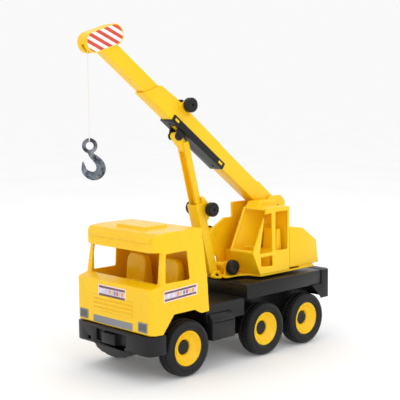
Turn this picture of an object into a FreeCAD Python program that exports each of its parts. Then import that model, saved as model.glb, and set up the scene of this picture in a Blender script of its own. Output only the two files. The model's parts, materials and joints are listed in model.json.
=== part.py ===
import FreeCAD, Part
import math
import os
import Sketcher

# Toy crane truck: three-axle truck with a slewing crane.  Millimetres, +Z up.
# X is across the truck, -Y is the way the truck and its boom point, and the
# origin is on the ground under the middle of the whole toy.

doc = FreeCAD.newDocument("crane_truck")
sheet = doc.addObject("Spreadsheet::Sheet", "dims")

DIMENSIONS = [
    ("wheel_radius", 39, "tyre outer radius"),
    ("tyre_width", 26, "tyre width"),
    ("track_outer", 80.4, "centre line to the outer face of a tyre"),
    ("rim_radius", 24.5, "outer radius of the wheel dish"),
    ("rim_inset", 3.4, "tyre face to the flange of the dish"),
    ("hub_radius", 10, "radius of a hub cap"),
    ("hub_inset", 12.5, "tyre face to the face of a hub cap"),
    ("axle_radius", 3, "radius of a wheel axle"),
    ("axle_front", -97.9, "front axle along Y"),
    ("axle_middle", 57, "middle axle along Y"),
    ("axle_rear", 148.4, "rear axle along Y"),
    ("running_fit", 0.05, "radial clearance of a turning fit"),
    ("wall", 2.5, "usual wall of a moulding"),
    ("cab_half", 80.2, "half width of the cab"),
    ("cab_front", -166, "front face of the cab"),
    ("cab_bottom", 67.5, "bottom edge of the cab front"),
    ("belt_height", 128, "top of the cab's front panel"),
    ("sill_height", 132.5, "bottom of the windscreen"),
    ("header_height", 175, "top of the windscreen"),
    ("roof_height", 200, "cab roof"),
    ("cab_rear_low", -60.5, "cab rear wall at the bottom"),
    ("cab_rear_high", -68, "cab rear wall at the roof"),
    ("bumper_bottom", 39.5, "bottom of the front bumper"),
    ("deck_half", 76, "half width of the deck"),
    ("deck_top", 109, "top of the deck"),
    ("deck_bottom", 88, "bottom of the deck's side skirt"),
    ("deck_front", 19, "front of the deck"),
    ("tail_end", 206.8, "rear end of the truck"),
    ("tail_bottom", 65, "bottom of the tail panel"),
    ("turret_axis", 100, "slewing axis along Y"),
    ("turret_half", 62, "half width of the turret"),
    ("turret_floor", 112.5, "underside of the turret"),
    ("turret_roof", 212, "roof edge of the operator's cab"),
    ("turret_gap", 13.5, "centre line to the inner face of a turret side"),
    ("boom_pivot_along", 147, "boom foot pivot along Y"),
    ("boom_pivot_height", 204.3, "boom foot pivot height"),
    ("boom_angle", 37.2, "boom elevation as modelled, degrees"),
    ("boom_half", 11, "half width of the outer boom"),
    ("boom_rise", 14.2, "half height of the outer boom"),
    ("inner_half", 8, "half width of the inner boom"),
    ("inner_top", 10.5, "top of the inner boom above the boom axis"),
    ("inner_bottom", -11.9, "bottom of the inner boom below the boom axis"),
    ("slide_fit", 0.3, "clearance around a sliding part"),
    ("head_radius", 14, "radius of the boom head's round ends"),
    ("head_half", 9.3, "half width of the boom head"),
    ("knob_radius", 10.5, "radius of a drive knob"),
    ("knob_length", 9.5, "length of a drive knob"),
    ("knob_face", 25.8, "centre line to the outer face of a drive knob"),
    ("shaft_radius", 3, "radius of the drive shafts"),
    ("foot_along", 19, "strut foot pivot along Y"),
    ("foot_height", 115, "strut foot pivot height"),
    ("strut_angle", 14.7, "lean of the strut from upright, degrees"),
    ("sleeve_half", 10, "half width of the strut sleeve"),
    ("rod_half", 7.7, "half width of the strut rod"),
    ("rod_depth", 10, "depth of the strut rod"),
    ("string_drop", 128.7, "length of string below the head"),
    ("string_radius", 0.6, "radius of the hoist string"),
    ("hook_turn", 46, "turn of the hanging hook about the string, degrees"),
]


class Size:
    """A value from the sheet that remembers the formula it came from."""

    def __init__(self, value, text):
        self.value = value
        self.text = text

    def __add__(self, other):
        return Size(self.value + value_of(other), f"({self.text} + {text_of(other)})")

    def __radd__(self, other):
        return Size(value_of(other) + self.value, f"({text_of(other)} + {self.text})")

    def __sub__(self, other):
        return Size(self.value - value_of(other), f"({self.text} - {text_of(other)})")

    def __rsub__(self, other):
        return Size(value_of(other) - self.value, f"({text_of(other)} - {self.text})")

    def __mul__(self, other):
        return Size(self.value * value_of(other), f"({self.text} * {text_of(other)})")

    __rmul__ = __mul__

    def __truediv__(self, other):
        return Size(self.value / value_of(other), f"({self.text} / {text_of(other)})")

    def __neg__(self):
        return Size(-self.value, f"(0 - {self.text})")


def value_of(size):
    return size.value if isinstance(size, Size) else float(size)


def text_of(size):
    return size.text if isinstance(size, Size) else f"({size:.6g})"


def cosine(angle):
    return Size(math.cos(math.radians(angle.value)), f"cos({angle.text} * 1 deg)")


def sine(angle):
    return Size(math.sin(math.radians(angle.value)), f"sin({angle.text} * 1 deg)")


class Dims:
    """The sheet's cells as attributes."""


d = Dims()
for row, (name, number, note) in enumerate(DIMENSIONS, start=1):
    sheet.set(f"A{row}", note)
    sheet.set(f"B{row}", str(number))
    sheet.setAlias(f"B{row}", name)
    setattr(d, name, Size(float(number), f"dims.{name}"))
doc.recompute()

parts = []


def bind(obj, prop, size):
    """Sets a property, tied to the sheet where the size comes from it."""
    if isinstance(size, Size):
        obj.setExpression(prop, size.text)
    elif "." in prop:
        obj.setExpression(prop, text_of(size))
    else:
        setattr(obj, prop, float(size))


def place(obj, x=0, y=0, z=0, axis=(1, 0, 0), angle=None):
    """Puts an object at a point, turned about an axis by an angle in degrees."""
    degrees = value_of(angle) if angle is not None else 0
    base = FreeCAD.Vector(value_of(x), value_of(y), value_of(z))
    obj.Placement = FreeCAD.Placement(base, FreeCAD.Rotation(FreeCAD.Vector(*axis), degrees))
    for prop, size in (("x", x), ("y", y), ("z", z)):
        if isinstance(size, Size):
            obj.setExpression(f"Placement.Base.{prop}", size.text)
    if isinstance(angle, Size):
        obj.setExpression("Placement.Rotation.Angle", angle.text)
    return obj


def keep(obj, label):
    """Names a finished sub-part."""
    obj.Label = label
    parts.append(obj)
    return obj


# ---- PartDesign helpers ----

def new_body():
    return doc.addObject("PartDesign::Body", "Body")


def empty_sketch(body, role, offset):
    """A sketch with nothing in it, laid parallel to one of the body's origin planes."""
    drawing = body.newObject("Sketcher::SketchObject", "Sketch")
    planes = [f for f in body.Origin.OriginFeatures if f.Role == f"{role}_Plane"]
    drawing.AttachmentSupport = [(planes[0], "")]
    drawing.MapMode = "FlatFace"
    drawing.AttachmentOffset = FreeCAD.Placement()
    shift = -offset if role == "XZ" else offset
    if value_of(shift):
        bind(drawing, "AttachmentOffset.Base.z", shift)
    return drawing


def sketch(body, role, offset, outline):
    """A closed outline of straight lines on one of the body's origin planes.

    role is XY, XZ or YZ, and offset is the plane's distance from the origin
    along +Z, +Y or +X.
    """
    drawing = empty_sketch(body, role, offset)
    corners = [FreeCAD.Vector(value_of(a), value_of(b), 0) for a, b in outline]
    count = len(corners)
    for i in range(count):
        drawing.addGeometry(Part.LineSegment(corners[i], corners[(i + 1) % count]))
    for i in range(count):
        drawing.addConstraint(Sketcher.Constraint("Coincident", i, 2, (i + 1) % count, 1))
    for i, (a, b) in enumerate(outline):
        for kind, size in (("DistanceX", a), ("DistanceY", b)):
            rule = Sketcher.Constraint(kind, -1, 1, i, 1, value_of(size))
            number = drawing.addConstraint(rule)
            if isinstance(size, Size):
                drawing.setExpression(f"Constraints[{number}]", size.text)
    return drawing


def volume(body):
    doc.recompute()
    return body.Shape.Volume


def pad(body, role, start, depth, outline):
    """Adds an outline, from start along the plane's own axis by depth."""
    feature = body.newObject("PartDesign::Pad", "Pad")
    feature.Profile = sketch(body, role, start, outline)
    feature.Reversed = role == "XZ"
    bind(feature, "Length", depth)
    return feature


def pocket(body, role, start, depth, outline):
    """Removes an outline, from start along the plane's own axis by depth."""
    before = volume(body)
    feature = body.newObject("PartDesign::Pocket", "Pocket")
    feature.Profile = sketch(body, role, start, outline)
    feature.Reversed = role != "XZ"
    bind(feature, "Length", depth)
    if volume(body) > before - 0.5:
        raise ValueError(f"a pocket of {body.Name} cuts nothing")
    return feature


def turn(body, outline, kind="Revolution"):
    """Revolves an outline of (x, radius) points about the body's own X axis."""
    feature = body.newObject(f"PartDesign::{kind}", kind)
    drawing = sketch(body, "XZ", 0, outline)
    feature.Profile = drawing
    feature.ReferenceAxis = (drawing, ["H_Axis"])
    feature.Angle = 360
    return feature


def round_edges(body, radius, wanted):
    """Fillets the edges of the body's last shape for which wanted(edge) holds."""
    doc.recompute()
    base = body.Tip
    names = [f"Edge{i + 1}" for i, edge in enumerate(base.Shape.Edges) if wanted(edge)]
    if not names:
        raise ValueError(f"no edge to round on {body.Name}")
    feature = body.newObject("PartDesign::Fillet", "Fillet")
    feature.Base = (base, names)
    bind(feature, "Radius", radius)
    return feature


def runs_along(edge, axis):
    """True for a straight edge parallel to axis 0, 1 or 2."""
    if not isinstance(edge.Curve, (Part.Line, Part.LineSegment)):
        return False
    way = edge.tangentAt(edge.FirstParameter)
    return abs(abs(way[axis]) - 1) < 1e-6


def rectangle(left, right, low, high):
    return [(left, low), (right, low), (right, high), (left, high)]


def circle_sketch(body, role, offset, a, b, radius):
    drawing = empty_sketch(body, role, offset)
    centre = FreeCAD.Vector(value_of(a), value_of(b), 0)
    drawing.addGeometry(Part.Circle(centre, FreeCAD.Vector(0, 0, 1), value_of(radius)))
    for kind, size in (("DistanceX", a), ("DistanceY", b)):
        number = drawing.addConstraint(Sketcher.Constraint(kind, -1, 1, 0, 3, value_of(size)))
        if isinstance(size, Size):
            drawing.setExpression(f"Constraints[{number}]", size.text)
    number = drawing.addConstraint(Sketcher.Constraint("Radius", 0, value_of(radius)))
    if isinstance(radius, Size):
        drawing.setExpression(f"Constraints[{number}]", radius.text)
    return drawing


def round_pad(body, start, width, y, z, radius):
    """Adds a disc across X to a body."""
    feature = body.newObject("PartDesign::Pad", "Disc")
    feature.Profile = circle_sketch(body, "YZ", start, y, z, radius)
    bind(feature, "Length", width)
    return feature


def round_hole(body, role, start, length, a, b, radius):
    before = volume(body)
    feature = body.newObject("PartDesign::Pocket", "Bore")
    feature.Profile = circle_sketch(body, role, start, a, b, radius)
    feature.Reversed = True
    bind(feature, "Length", length)
    if volume(body) > before - 0.1:
        raise ValueError(f"a bore of {body.Name} cuts nothing")
    return feature


def bore(body, y, z, radius, start=-100, length=200):
    """A round hole along X."""
    return round_hole(body, "YZ", start, length, y, z, radius)


def bore_z(body, x, y, radius, start=-1, length=400):
    """A round hole along Z."""
    return round_hole(body, "XY", start, length, x, y, radius)


# ---- Part helpers ----

def box(x, y, z, size_x, size_y, size_z):
    """A block from its low corner."""
    block = doc.addObject("Part::Box", "Box")
    bind(block, "Length", size_x)
    bind(block, "Width", size_y)
    bind(block, "Height", size_z)
    return place(block, x, y, z)


def rod_x(x, y, z, radius, length):
    """A cylinder along X, from x."""
    bar = doc.addObject("Part::Cylinder", "Cylinder")
    bind(bar, "Radius", radius)
    bind(bar, "Height", length)
    bar.Placement = FreeCAD.Placement(
        FreeCAD.Vector(value_of(x), value_of(y), value_of(z)),
        FreeCAD.Rotation(FreeCAD.Vector(0, 1, 0), 90))
    for prop, size in (("x", x), ("y", y), ("z", z)):
        if isinstance(size, Size):
            bar.setExpression(f"Placement.Base.{prop}", size.text)
    return bar


def rod_z(x, y, z, radius, length):
    """A cylinder along Z, from z."""
    bar = doc.addObject("Part::Cylinder", "Cylinder")
    bind(bar, "Radius", radius)
    bind(bar, "Height", length)
    return place(bar, x, y, z)


def cut(base, *tools):
    for tool in tools:
        result = doc.addObject("Part::Cut", "Cut")
        result.Base = base
        result.Tool = tool
        base = result
    return base


def fuse(*pieces):
    result = doc.addObject("Part::MultiFuse", "Fuse")
    result.Shapes = list(pieces)
    result.Refine = True
    return result


def group(*pieces):
    """Separate solids that share one node."""
    result = doc.addObject("Part::Compound", "Group")
    result.Links = list(pieces)
    return result


def boom_point(along, up):
    """A point in the boom's own axes as (y, z) of the truck."""
    swing_cos = cosine(d.boom_angle)
    swing_sin = sine(d.boom_angle)
    y = d.boom_pivot_along + along * swing_cos + up * swing_sin
    z = d.boom_pivot_height - along * swing_sin + up * swing_cos
    return y, z


def place_on_boom(obj):
    """Lays an object made in the boom's own axes onto the raised boom."""
    return place(obj, 0, d.boom_pivot_along, d.boom_pivot_height, (-1, 0, 0), d.boom_angle)


def strut_point(across, up):
    """A point in the strut's own axes as (y, z) of the truck."""
    lean_cos = cosine(d.strut_angle)
    lean_sin = sine(d.strut_angle)
    y = d.foot_along + across * lean_cos - up * lean_sin
    z = d.foot_height + across * lean_sin + up * lean_cos
    return y, z


def strut_local(y, z):
    """A point of the truck in the strut's own axes."""
    lean_cos = cosine(d.strut_angle)
    lean_sin = sine(d.strut_angle)
    across = (y - d.foot_along) * lean_cos + (z - d.foot_height) * lean_sin
    up = (z - d.foot_height) * lean_cos - (y - d.foot_along) * lean_sin
    return across, up


def place_on_strut(obj):
    """Lays an object made in the strut's own axes onto the leaning strut."""
    return place(obj, 0, d.foot_along, d.foot_height, (1, 0, 0), d.strut_angle)


# ---- chassis ----

CHASSIS_HALF = 42
CHASSIS_LOW = 30
SPINE_TOP = 66
BUMPER_DEPTH = 18
BOARD_HALF = 70
CAB_INNER = d.cab_half - d.wall


def chassis_frame():
    """A spine with side rails, a cab bearer, a wide running board and the deck's bearers."""
    body = new_body()
    start = d.cab_front - 3 + BUMPER_DEPTH
    side = [(start, CHASSIS_LOW + 14), (start + 15, CHASSIS_LOW),
            (d.tail_end - 22, CHASSIS_LOW), (d.tail_end - 14, CHASSIS_LOW + 14),
            (d.tail_end - 14, d.deck_top - 3), (d.deck_front + 3, d.deck_top - 3),
            (d.deck_front + 3, SPINE_TOP), (start, SPINE_TOP)]
    pad(body, "YZ", -CHASSIS_HALF, 2 * CHASSIS_HALF, side)
    pad(body, "XY", SPINE_TOP - 1, 7, rectangle(-CHASSIS_HALF, CHASSIS_HALF, start + 1, start + 8))
    pad(body, "XY", SPINE_TOP + 1.5, 4.5, rectangle(-CAB_INNER, CAB_INNER, start + 1, start + 8))
    board = rectangle(-BOARD_HALF, BOARD_HALF, -57, d.deck_front)
    pad(body, "XY", SPINE_TOP - 1, 25, board)
    channel = rectangle(-CHASSIS_HALF + 4, CHASSIS_HALF - 4, d.cab_front + 34, d.tail_end - 26)
    pocket(body, "XY", CHASSIS_LOW - 1, SPINE_TOP - CHASSIS_LOW - 3, channel)
    under_deck = rectangle(-CHASSIS_HALF + 4, CHASSIS_HALF - 4, d.deck_front + 7, d.tail_end - 18)
    pocket(body, "XY", SPINE_TOP, 36.5, under_deck)
    recess = rectangle(-66, 66, -53, d.deck_front - 4)
    pocket(body, "XY", SPINE_TOP + 3, 18, recess)
    for axle in (d.axle_front, d.axle_middle, d.axle_rear):
        bore(body, axle, d.wheel_radius, d.axle_radius + d.running_fit)
    bore_z(body, 0, d.turret_axis, PIN_FLANGE + 0.5, 90)
    return keep(body, "chassis_frame")


def front_bumper():
    """The black bumper with its chin, tow block and slots."""
    body = new_body()
    front = d.cab_front - 3
    half = d.cab_half
    plan = [(-half, front + 29), (-half, front + 10), (-half + 3, front + 3), (-half + 10, front),
            (half - 10, front), (half - 3, front + 3), (half, front + 10), (half, front + 29),
            (half - 6, front + 29), (half - 6, front + BUMPER_DEPTH), (-half + 6, front + BUMPER_DEPTH),
            (-half + 6, front + 29)]
    pad(body, "XY", d.bumper_bottom, d.cab_bottom - 1.5 - d.bumper_bottom, plan)
    chin = [(-40, d.bumper_bottom + 2), (-34, 34), (-22, 29.5), (-6, 28), (10, 28), (26, 30),
            (38, 35), (43, d.bumper_bottom + 2)]
    pad(body, "XZ", front + 1, 14, chin)
    pocket(body, "XZ", front - 1, 6, rectangle(-33, 31, 45, 61))
    pad(body, "XZ", front - 2.5, 12, rectangle(-18, 10, 44, 59))
    pocket(body, "XY", 50, 10, rectangle(-14, 6, front, front + 5))
    for left, right, low, high in ((17, 27, 41, 44.5), (-52, -46, 43, 48)):
        pocket(body, "XZ", front - 1, 30, rectangle(left, right, low, high))
    return keep(body, "front_bumper")


def side_box(label, side):
    """A storage box hung under the running board, with a lid that laps over its edge."""
    body = new_body()
    section = [(46, 41), (79.5, 41), (79.5, 70), (72.5, 77), (BOARD_HALF, 77), (BOARD_HALF, SPINE_TOP - 1),
               (46, SPINE_TOP - 1)]
    pad(body, "XZ", -54, 44.5, section if side > 0 else mirrored(section))
    groove = rectangle(78.3, 81, 65.5, 66.6)
    pocket(body, "XZ", -51, 38.5, groove if side > 0 else mirrored(groove))
    return keep(body, label)


def deck():
    """The black platform with its skirts, rising over the rear wheels."""
    body = new_body()
    plan = rectangle(-d.deck_half, d.deck_half, d.deck_front, d.tail_end - 22)
    pad(body, "XY", d.deck_bottom, d.deck_top - d.deck_bottom, plan)
    hollow = rectangle(-d.deck_half + 3, d.deck_half - 3, d.deck_front + 3, d.tail_end - 21)
    pocket(body, "XY", d.deck_bottom - 1, d.deck_top - d.deck_bottom - 2, hollow)
    bevel = 2.5
    for side in (-1, 1):
        edge = side * d.deck_half
        corner = [(edge, d.deck_top - bevel), (edge + side * 1, d.deck_top + 1),
                  (edge - side * bevel, d.deck_top)]
        pocket(body, "XZ", d.deck_front - 1, d.tail_end, corner)
    bore_z(body, 0, d.turret_axis, PIN_RADIUS + d.running_fit)
    return keep(body, "deck")


def tail_panel():
    """The rear panel that wraps round the deck's end and drops to a flared hem."""
    body = new_body()
    half = d.deck_half + 1.5
    start = d.tail_end - 21.7
    plan = [(-half, start), (-half, d.tail_end - 6), (-half + 6, d.tail_end), (half - 6, d.tail_end),
            (half, d.tail_end - 6), (half, start)]
    pad(body, "XY", d.tail_bottom, d.deck_top - d.tail_bottom, plan)
    hollow = rectangle(-half + 3, half - 3, start - 1, d.tail_end - 4)
    pocket(body, "XY", d.tail_bottom - 1, d.deck_top - d.tail_bottom - 2, hollow)
    gusset = [(start + 1, d.deck_bottom), (start - 24, d.deck_bottom), (start + 1, d.tail_bottom + 1)]
    for x in (-half, half - 3):
        pad(body, "YZ", x, 3, gusset)
    return keep(body, "tail_panel")


# ---- cab ----

CORNER_RADIUS = 8
VISOR_RADIUS = 12


def cab_shell():
    """The yellow cab: a hollow shell with windscreen, side windows and wheel arches."""
    body = new_body()
    front = d.cab_front
    side = [(front, d.cab_bottom), (front + 1.5, d.belt_height), (front + 19, d.sill_height),
            (front + 24, d.header_height), (front + 13, d.header_height - 1),
            (front + 14.5, d.roof_height - 8), (front + 21, d.roof_height - 1.5),
            (front + 40, d.roof_height), (d.cab_rear_high, d.roof_height), (d.cab_rear_low, 85),
            (-74.7, 84), (-87.7, 91), (-125.1, 90.3), (-145, d.cab_bottom - 1.5)]
    pad(body, "YZ", -d.cab_half, 2 * d.cab_half, side)
    roof_half = d.cab_half - 6
    for x in (-1, 1):
        flank = [(x * 90, 120), (x * (d.cab_half + 0.2), 134), (x * roof_half, d.roof_height + 1),
                 (x * 90, d.roof_height + 1)]
        pocket(body, "XZ", front - 10, 130, flank)
    lower = [(front + 3.5, 60), (front + 4, d.belt_height - 3), (d.cab_rear_low - 5.5, d.belt_height - 3),
             (d.cab_rear_low - 3, 60)]
    pocket(body, "YZ", -CAB_INNER, 2 * CAB_INNER, lower)
    upper_half = roof_half - d.wall
    upper = [(front + 4, d.belt_height - 3.5), (front + 22, d.sill_height - 2.5),
             (front + 27, d.header_height + 2), (front + 24, d.roof_height - 5),
             (d.cab_rear_high - 2.5, d.roof_height - 3), (d.cab_rear_low - 5.5, d.belt_height - 3.5)]
    pocket(body, "YZ", -upper_half, 2 * upper_half, upper)
    flared = [(-CAB_INNER, d.belt_height - 3.5), (CAB_INNER, d.belt_height - 3.5), (CAB_INNER, 134),
              (upper_half, d.roof_height - 5), (-upper_half, d.roof_height - 5), (-CAB_INNER, 134)]
    pocket(body, "XZ", front + 26, d.cab_rear_high - 2.5 - front - 26, flared)
    windscreen = [(-71.5, d.sill_height), (71.5, d.sill_height), (70, d.header_height - 1),
                  (-70, d.header_height - 1)]
    pocket(body, "XZ", front - 1, 28, windscreen)
    window = [(-139.5, 134), (-96, 134), (-97.5, 172.4), (-135.5, 171.8)]
    pocket(body, "YZ", -d.cab_half - 3, 2 * d.cab_half + 6, window)
    pad(body, "XY", d.roof_height - 1, 4.5, rectangle(-30, 30, -132, -92))
    for side in (-1, 1):
        edge = side * (CAB_INNER + 1)
        post = [(edge, front + 3), (edge, front + 11), (side * (CAB_INNER - 7), front + 3)]
        pad(body, "XY", d.cab_bottom + 1, d.belt_height - d.cab_bottom - 4, post)
        corner_cut(body, side, d.cab_half, front, CORNER_RADIUS, 60, d.belt_height - 56)
        corner_cut(body, side, d.cab_half - 4, front + 13, VISOR_RADIUS, d.header_height - 2, 40)
    return keep(body, "cab_shell")


def corner_cut(body, side, half, front, radius, low, depth):
    """Rounds one front corner in plan, between two heights."""
    drawing = empty_sketch(body, "XY", low)
    edge_x = side * value_of(half)
    inside = side * (value_of(half) - radius)
    outside = side * (value_of(half) + 12)
    edge_y = value_of(front)
    middle = radius * (1 - math.sqrt(0.5))
    points = [(inside, edge_y - 2), (outside, edge_y - 2), (outside, edge_y + radius),
              (edge_x, edge_y + radius)]
    corners = [FreeCAD.Vector(a, b, 0) for a, b in points]
    arc_end = FreeCAD.Vector(inside, edge_y, 0)
    arc_middle = FreeCAD.Vector(edge_x - side * middle, edge_y + middle, 0)
    for i in range(3):
        drawing.addGeometry(Part.LineSegment(corners[i], corners[i + 1]))
    drawing.addGeometry(Part.Arc(corners[3], arc_middle, arc_end))
    drawing.addGeometry(Part.LineSegment(arc_end, corners[0]))
    before = volume(body)
    feature = body.newObject("PartDesign::Pocket", "Corner")
    feature.Profile = drawing
    feature.Reversed = True
    bind(feature, "Length", depth)
    if volume(body) > before - 0.1:
        raise ValueError("a rounded corner cuts nothing")


def cab_seats():
    """Two seats with rounded backs."""
    seats = []
    for x in (-54, 14):
        body = new_body()
        profile = [(-122, 98), (-80, 98), (-80, 120), (-84, 157), (-94, 157), (-98, 117), (-122, 114)]
        pad(body, "YZ", x, 40, profile)
        round_edges(body, 12, lambda edge: runs_along(edge, 1) and edge.Vertexes[0].Z > 150)
        seats.append(body)
    base = box(-CAB_INNER, -126, 92, 2 * CAB_INNER, 56, 6)
    return keep(group(*seats, base), "cab_seats")


def dashboard():
    """The shelf under the windscreen."""
    body = new_body()
    front = d.cab_front
    profile = [(front + 11.5, 108), (front + 11.5, d.belt_height - 6), (front + 22, d.sill_height - 8),
               (front + 30, d.sill_height - 10), (front + 30, 108)]
    pad(body, "YZ", -CAB_INNER, 2 * CAB_INNER, profile)
    return keep(body, "dashboard")


LABEL_THICK = 0.4


def front_plate(left, right, low, high):
    """A thin plate lying on the cab's sloping front."""
    def face(height):
        return d.cab_front + 1.5 * (height - d.cab_bottom) / (d.belt_height.value - d.cab_bottom.value)

    body = new_body()
    outline = [(face(low) - LABEL_THICK, low), (face(low), low), (face(high), high),
               (face(high) - LABEL_THICK, high)]
    pad(body, "YZ", left, right - left, outline)
    return body


def front_labels():
    """Grey labels: two lamp squares and the strip under the grille."""
    return keep(group(front_plate(-72, -54.5, 71, 83.5), front_plate(54.5, 72, 71, 83.5),
                      front_plate(-42, 42, 69.5, 79)), "front_labels")


def cab_labels():
    """A plain striped label on the front and on each side."""
    slanted = [(-144, 109), (-84, 112), (-83, 127), (-143, 124)]
    sides = []
    for start in (d.cab_half, -d.cab_half - LABEL_THICK):
        body = new_body()
        pad(body, "YZ", start, LABEL_THICK, slanted)
        sides.append(body)
    return keep(group(front_plate(-31, 28, 106, 123), *sides), "cab_labels")


# ---- wheels ----

CAP_LENGTH = 3.5


def wheel_profile_tyre():
    outer = d.track_outer
    inner = d.track_outer - d.tyre_width
    tread = d.wheel_radius
    return [(inner, d.rim_radius + 3), (inner, tread - 5), (inner + 1.2, tread - 2.2),
            (inner + 3.6, tread - 0.6), (inner + 7, tread), (outer - 7, tread),
            (outer - 3.6, tread - 0.6), (outer - 1.2, tread - 2.2),
            (outer, tread - 5), (outer, d.rim_radius + 3.5), (outer - d.rim_inset, d.rim_radius),
            (inner + 6, d.rim_radius), (inner + 6, d.rim_radius + 3)]


def wheel_profile_rim():
    outer = d.track_outer
    inner = d.track_outer - d.tyre_width
    face = outer - d.rim_inset
    hub = outer - d.hub_inset
    return [(inner + 7, d.axle_radius), (inner + 7, d.rim_radius), (face, d.rim_radius),
            (face, d.rim_radius - 3.2), (face - 1.5, d.rim_radius - 4.2), (hub + 2.5, d.hub_radius + 4),
            (hub + 0.5, d.hub_radius + 0.3), (hub - CAP_LENGTH, d.hub_radius + 0.3),
            (hub - CAP_LENGTH, d.axle_radius)]


def mirrored(outline):
    return [(-a, b) for a, b in outline]


def axle_set(name, along):
    """One axle with a tyre and a dished wheel on each end."""
    reach = d.track_outer - d.hub_inset - CAP_LENGTH
    shaft = rod_x(-reach, along, d.wheel_radius, d.axle_radius, 2 * reach)
    keep(shaft, f"axle_{name}")
    for side, flip in (("left", False), ("right", True)):
        for kind, profile in (("tyre", wheel_profile_tyre()), ("wheel", wheel_profile_rim())):
            body = new_body()
            turn(body, mirrored(profile) if flip else profile)
            place(body, 0, along, d.wheel_radius)
            keep(body, f"{kind}_{name}_{side}")
    hub = d.track_outer - d.hub_inset
    caps = []
    for flip in (False, True):
        body = new_body()
        profile = [(hub - CAP_LENGTH, 0), (hub - CAP_LENGTH, d.hub_radius), (hub - 1, d.hub_radius),
                   (hub, d.hub_radius - 1), (hub, 0)]
        turn(body, mirrored(profile) if flip else profile)
        place(body, 0, along, d.wheel_radius)
        caps.append(body)
    keep(group(*caps), f"hub_caps_{name}")


# ---- turret ----

FLOOR = 3
PIN_RADIUS = 6
PIN_FLANGE = 11
FOOT_PIN = 3
BOOM_PIN = 4
FRONT_WINCH = (36, 127)
HOIST = (46, 172)
HOIST_DRUM = -22
COUNTERWEIGHT_LOW = 118.5


def turntable_bearing():
    """The black ring that the turret turns on."""
    height = d.turret_floor - d.deck_top - d.slide_fit
    ring = rod_z(0, d.turret_axis, d.deck_top, 52, height)
    hole = rod_z(0, d.turret_axis, d.deck_top - 1, 9, 10)
    return keep(cut(ring, hole), "turntable_bearing")


def turntable_pin():
    """The stepped pin that holds the turret to the deck."""
    low = d.deck_top - FLOOR - 5
    shank = rod_z(0, d.turret_axis, low, PIN_RADIUS, d.turret_floor + FLOOR + 1 - low)
    flange = rod_z(0, d.turret_axis, low, PIN_FLANGE, 5)
    head = rod_z(0, d.turret_axis, d.turret_floor + FLOOR + d.slide_fit, 9, 2.5)
    return keep(fuse(shank, flange, head), "turntable_pin")


def turret_base():
    """The turret floor with its front tongue and the lugs that stand on it."""
    body = new_body()
    floor = d.turret_floor
    plan = [(-20, 9), (20, 9), (26, 14), (33, 26), (33, 44), (40, 58), (d.turret_half - 1, 64),
            (d.turret_half - 1, 186), (-d.turret_half + 1, 186),
            (-d.turret_half + 1, 64), (-40, 58), (-24, 44), (-24, 14)]
    pad(body, "XY", floor, FLOOR, plan)
    pad(body, "XY", floor + FLOOR - 0.5, COUNTERWEIGHT_LOW - floor - FLOOR + 0.5,
        rectangle(-60.5, 60.5, 152, 184))
    front_wall = rectangle(-13.5, 13.5, 64, 66.5)
    pad(body, "XY", floor + FLOOR - 0.5, 32, front_wall)
    lug = [(9, floor + 1), (29, floor + 1), (29, 116), (24, 122), (14, 122), (9, 116)]
    for x in (-15, 11):
        pad(body, "YZ", x, 4, lug)
    winch_lug = [(26, floor + 1), (46, floor + 1), (42, 131), (36, 134.5), (30, 131)]
    for x in (-23.5, 20.5):
        pad(body, "YZ", x, 3.2, winch_lug)
    bore(body, d.foot_along, d.foot_height, FOOT_PIN)
    bore(body, FRONT_WINCH[0], FRONT_WINCH[1], d.shaft_radius + d.running_fit)
    bore_z(body, 0, d.turret_axis, PIN_RADIUS + d.running_fit)
    slot = rectangle(-10.5, 10.5, 5, 30)
    pocket(body, "XY", floor - 1, 10, slot)
    return keep(body, "turret_base")


def hoist_panel():
    """The tall plate beside the boom, with the hoist bearing and the boom pivot."""
    body = new_body()
    inner = d.turret_gap
    floor = d.turret_floor + FLOOR
    side = [(50, floor), (150, floor), (168, 176), (168, 214), (158, 224), (134, 224), (120, 217),
            (81, 217), (81, 194), (64, 194.5), (44, 183.5), (32, 173), (26, 150), (34, 141), (48, 137)]
    pad(body, "YZ", -inner - 4, 4, side)
    bore(body, HOIST[0], HOIST[1], d.shaft_radius + d.running_fit, -40, 40)
    bore(body, d.boom_pivot_along, d.boom_pivot_height, BOOM_PIN, -40, 40)
    return keep(body, "hoist_panel")


def operator_cab():
    """The operator's cab: a shell with an open windscreen and two side windows."""
    body = new_body()
    floor = d.turret_floor + FLOOR
    inner = d.turret_gap
    outer = d.turret_half
    side = [(62.5, floor), (47, 149), (77.5, d.turret_roof), (92, d.turret_roof + 1), (127.5, d.turret_roof),
            (127.5, floor)]
    pad(body, "YZ", inner, outer - inner, side)
    crown = [(81, d.turret_roof - 1), (88, d.turret_roof + 8), (124, d.turret_roof + 8),
             (127.5, d.turret_roof - 1)]
    pad(body, "YZ", inner, 24, crown)
    hollow = [(66, floor + 3), (51.5, 149.5), (80, d.turret_roof - 3), (124.5, d.turret_roof - 3),
              (124.5, floor + 3)]
    pocket(body, "YZ", inner + 2.5, outer - inner - 5, hollow)
    glass = rectangle(inner + 4, outer - 3.5, 152, d.turret_roof - 3)
    pocket(body, "XZ", 40, 45, glass)
    front_window = [(61.5, 147), (89.5, 147), (87.5, 205), (72.5, 204)]
    pocket(body, "YZ", outer - 4, 6, front_window)
    rear_window = rectangle(96, 123, 148, 206)
    pocket(body, "YZ", outer - 4, 6, rear_window)
    step = [(65, 127), (91, 125.5), (89.5, 141.5), (64, 141.5)]
    pocket(body, "YZ", outer - 2.1, 3, step)
    return keep(body, "operator_cab")


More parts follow.
